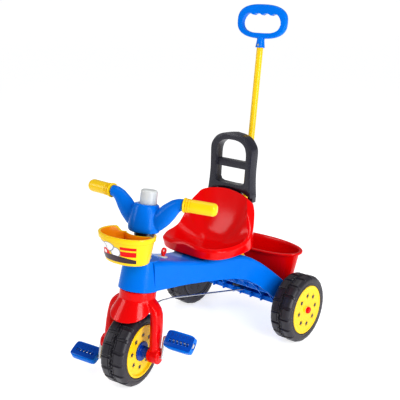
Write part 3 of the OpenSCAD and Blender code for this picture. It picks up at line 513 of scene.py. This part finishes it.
def build_basket():
    n = 192
    turn = [2 * math.pi * i / n for i in range(n)]
    outside = BASKET_FOOT + [wall_ring(k / BASKET_STEPS) for k in range(BASKET_STEPS + 1)]
    inside = [inner_ring(k / BASKET_STEPS) for k in range(BASKET_STEPS, 0, -1)] + BASKET_FLOOR
    rings = outside + BASKET_RIM + inside
    verts, faces = skin([[basket_point(*q, t) / MM for t in turn] for q in rings])
    mats = [MAT["yellow"], MAT["orange"]]
    piece = new_object("basket_shell", verts, faces, mats, "steering", ("basket",), 40)
    # The inside and the fan that closes the floor get the darker orange yellow, painted shade of the
    # basket's hollow.
    first = (len(outside) + len(BASKET_RIM) - 1) * n
    last = (len(rings) - 1) * n
    polygons = piece.data.polygons
    for i in list(range(first, last)) + list(range(len(polygons) - n, len(polygons))):
        polygons[i].material_index = 1


# Span of the sticker on the basket, in angle and in height, and its lift off the wall.
STICKER_TURN = (math.radians(208), math.radians(322))
STICKER_RISE = (0.1, 0.95)
STICKER_LIFT = 0.25
PAPER, RED, INK, GREY = range(4)
CLOUDS = ((0.2, 0.6, 0.3), (0.4, 0.72, 0.25), (0.54, 0.5, 0.2))


def decal_colour(u, v):
    """Plain shapes of the sticker: pale clouds over a dark swoosh, a red ball and two red bars."""
    def apart(cu, cv):
        return math.hypot((u - cu) * 1.9, v - cv)

    swoosh = 0.2 + 0.16 * math.sin(2.6 * u + 0.3)
    if u < 0.02 or u > 0.98 or v < 0.03:
        return None
    if v < swoosh:
        return INK
    if apart(0.3, 0.36) < 0.2:
        return RED if apart(0.28, 0.42) > 0.07 else PAPER
    if 0.64 < u < 0.97 and (0.38 < v < 0.56 or 0.62 < v < 0.8):
        return RED
    for cu, cv, r in CLOUDS:
        if apart(cu, cv) < r:
            return PAPER if apart(cu, cv) < r - 0.035 else GREY
    return None


def build_decal():
    nu, nv = ((160, 80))
    (t0, t1), (h0, h1) = STICKER_TURN, STICKER_RISE
    made = {}
    verts, faces, colours = [], [], []

    def corner(i, j):
        if (i, j) not in made:
            made[i, j] = len(verts)
            verts.append(basket_wall(h0 + (h1 - h0) * j / nv, t0 + (t1 - t0) * i / nu, STICKER_LIFT))
        return made[i, j]

    for i in range(nu):
        for j in range(nv):
            colour = decal_colour((i + 0.5) / nu, (j + 0.5) / nv)
            if colour is not None:
                faces.append((corner(i, j), corner(i + 1, j), corner(i + 1, j + 1), corner(i, j + 1)))
                colours.append(colour)
    mats = [MAT["paper"], MAT["red"], MAT["ink"], MAT["grey"]]
    piece = new_object("basket_sticker", verts, faces, mats, "steering", (), 60)
    for poly, colour in zip(piece.data.polygons, colours):
        poly.material_index = colour


# ---------------------------------------------------------------- tub
# Rings of the tub as height, half width and half depth: outside, rolled rim and inside.
TUB_MIDDLE_Y = 291.5
TUB_RINGS = [
    (114, 108, 34), (114.2, 112.4, 37.4), (115.4, 115, 40), (118, 116.8, 41.8), (121, 118, 43),
    (130, 120, 44.5), (153, 125, 48), (180, 131.4, 51.6), (209, 138, 55), (213.4, 139, 55.5),
    (214, 139.8, 56.2), (214, 146, 61), (214.3, 147.8, 62.6), (215.2, 148.4, 63.6), (218.6, 148.5, 63.98),
    (219.6, 148.1, 63.2), (220, 147, 61.8), (220, 139.5, 56), (219.6, 138.2, 55), (218.4, 137.3, 54.4),
    (209, 135, 52), (180, 128.4, 48.6), (153, 122, 45), (130, 117, 41.5), (121, 114.5, 39.5),
    (118, 112, 37), (117, 108, 33.5),
]


def build_tub():
    n = 192
    rings = [[(x, TUB_MIDDLE_Y + y, z) for x, y in oval(rx, ry, n)] for z, rx, ry in TUB_RINGS]
    verts, faces = skin(rings)
    new_object("tub_shell", verts, faces, [MAT["red"]], "frame", ("rear_tub",), 40)


# ---------------------------------------------------------------- handlebar and pedals
def clear_cap(piece):
    """Cuts the round seat into which the horn cap sinks, after the moulding has softened it."""
    n, radius, middle, low, high = 72, 22.3, 1, 365.8, 392.0
    turn = [2 * math.pi * i / n for i in range(n)]
    ring = [(radius * math.cos(t), middle + radius * math.sin(t)) for t in turn]
    verts = [FORK @ (Vector((x, y, z)) * MM) for z in (low, high) for x, y in ring]
    faces = [tuple(range(n - 1, -1, -1)), tuple(range(n, 2 * n))]
    faces += [(i, (i + 1) % n, n + (i + 1) % n, n + i) for i in range(n)]
    mesh = bpy.data.meshes.new("cap_cutter")
    mesh.from_pydata([tuple(v) for v in verts], [], faces)
    cutter = bpy.data.objects.new("cap_cutter", mesh)
    bpy.context.scene.collection.objects.link(cutter)
    cut = piece.modifiers.new("cap", "BOOLEAN")
    cut.operation = "DIFFERENCE"
    cut.solver = "EXACT"
    cut.object = cutter
    deps = bpy.context.evaluated_depsgraph_get()
    out = bpy.data.meshes.new_from_object(piece.evaluated_get(deps))
    piece.modifiers.remove(cut)
    bpy.data.objects.remove(cutter)
    piece.data = out
    out.shade_smooth()
    out.set_sharp_from_angle(angle=math.radians(60))


def build_pedal(node, turn):
    """Rounded pedal, tipped by a turn in degrees, whose broad faces are a deeper blue than its rim."""
    piece = bevelled(node, 0.9)
    a = math.radians(turn)
    flat = (FORK.to_3x3() @ Vector((0, -math.sin(a), math.cos(a)))).normalized()
    piece.data.materials.append(MAT["deep"])
    for poly in piece.data.polygons:
        if abs(poly.normal.dot(flat)) > 0.97:
            poly.material_index = 1


build_seat()
build_tyres()
build_basket()
build_decal()
build_tub()
moulded("fork", 1.3, 14)
clear_cap(moulded("handlebar", 1.3, 16))
moulded("push_handle", 0.9, 6)
moulded("toy_key", 0.45, 4)
bevelled("backrest", 1.6)
build_pedal("pedal_left", 56)
build_pedal("pedal_right", 37)


# ---------------------------------------------------------------- camera, floor and light
CAMERA_PLACE = (1.1711, -1.4089, 0.9835)
CAMERA_LENS = 65.0
CAMERA_DOWN = 17.08
CAMERA_PAN = 39.51
FLOOR_REACH = 200
# Each lamp: name, place, target, width, height and power.
LAMPS = (
    ("key", (2.3, -0.9, 1.9), (0, 0, 0.25), 1.1, 1.1, 31),
    ("low", (2.0, -0.3, 0.55), (0, 0.15, 0.2), 0.9, 0.9, 15),
    ("left", (-1.9, -2.0, 1.6), (0, 0, 0.3), 1.0, 1.6, 21),
    ("top", (-0.2, 0.5, 2.8), (0, 0, 0.2), 1.6, 1.6, 15),
)


def add_camera():
    data = bpy.data.cameras.new("camera")
    data.lens = CAMERA_LENS
    data.sensor_width = 36.0
    cam = bpy.data.objects.new("camera", data)
    bpy.context.scene.collection.objects.link(cam)
    cam.location = CAMERA_PLACE
    cam.rotation_euler = (math.radians(90 - CAMERA_DOWN), 0.0, math.radians(CAMERA_PAN))
    bpy.context.scene.camera = cam


def add_floor():
    mesh = bpy.data.meshes.new("floor")
    r = FLOOR_REACH
    mesh.from_pydata([(-r, -r, 0), (r, -r, 0), (r, r, 0), (-r, r, 0)], [], [(0, 1, 2, 3)])
    obj = bpy.data.objects.new("floor", mesh)
    bpy.context.scene.collection.objects.link(obj)
    m = bpy.data.materials.new("floor")
    m.use_nodes = True
    b = m.node_tree.nodes["Principled BSDF"]
    b.inputs["Base Color"].default_value = (0.72, 0.73, 0.75, 1)
    b.inputs["Roughness"].default_value = 0.16
    b.inputs["Specular IOR Level"].default_value = 0.35
    b.inputs["Emission Color"].default_value = (1.0, 1.0, 1.0, 1)
    b.inputs["Emission Strength"].default_value = 0.57
    mesh.materials.append(m)


def add_light(name, place, target, size, size_y, power):
    data = bpy.data.lights.new(name, "AREA")
    data.shape = "RECTANGLE"
    data.size = size
    data.size_y = size_y
    data.energy = power
    obj = bpy.data.objects.new(name, data)
    bpy.context.scene.collection.objects.link(obj)
    obj.location = place
    obj.rotation_euler = (Vector(target) - Vector(place)).to_track_quat("-Z", "Y").to_euler()


def add_world():
    world = bpy.data.worlds.new("world")
    world.use_nodes = True
    bg = world.node_tree.nodes["Background"]
    bg.inputs["Color"].default_value = (1.0, 1.0, 1.0, 1)
    bg.inputs["Strength"].default_value = 0.3
    bpy.context.scene.world = world
    bpy.context.scene.view_settings.view_transform = "Standard"
    bpy.context.scene.view_settings.look = "Medium High Contrast"
    bpy.context.scene.view_settings.exposure = 0.0


add_camera()
add_floor()
add_world()
for lamp in LAMPS:
    add_light(*lamp)
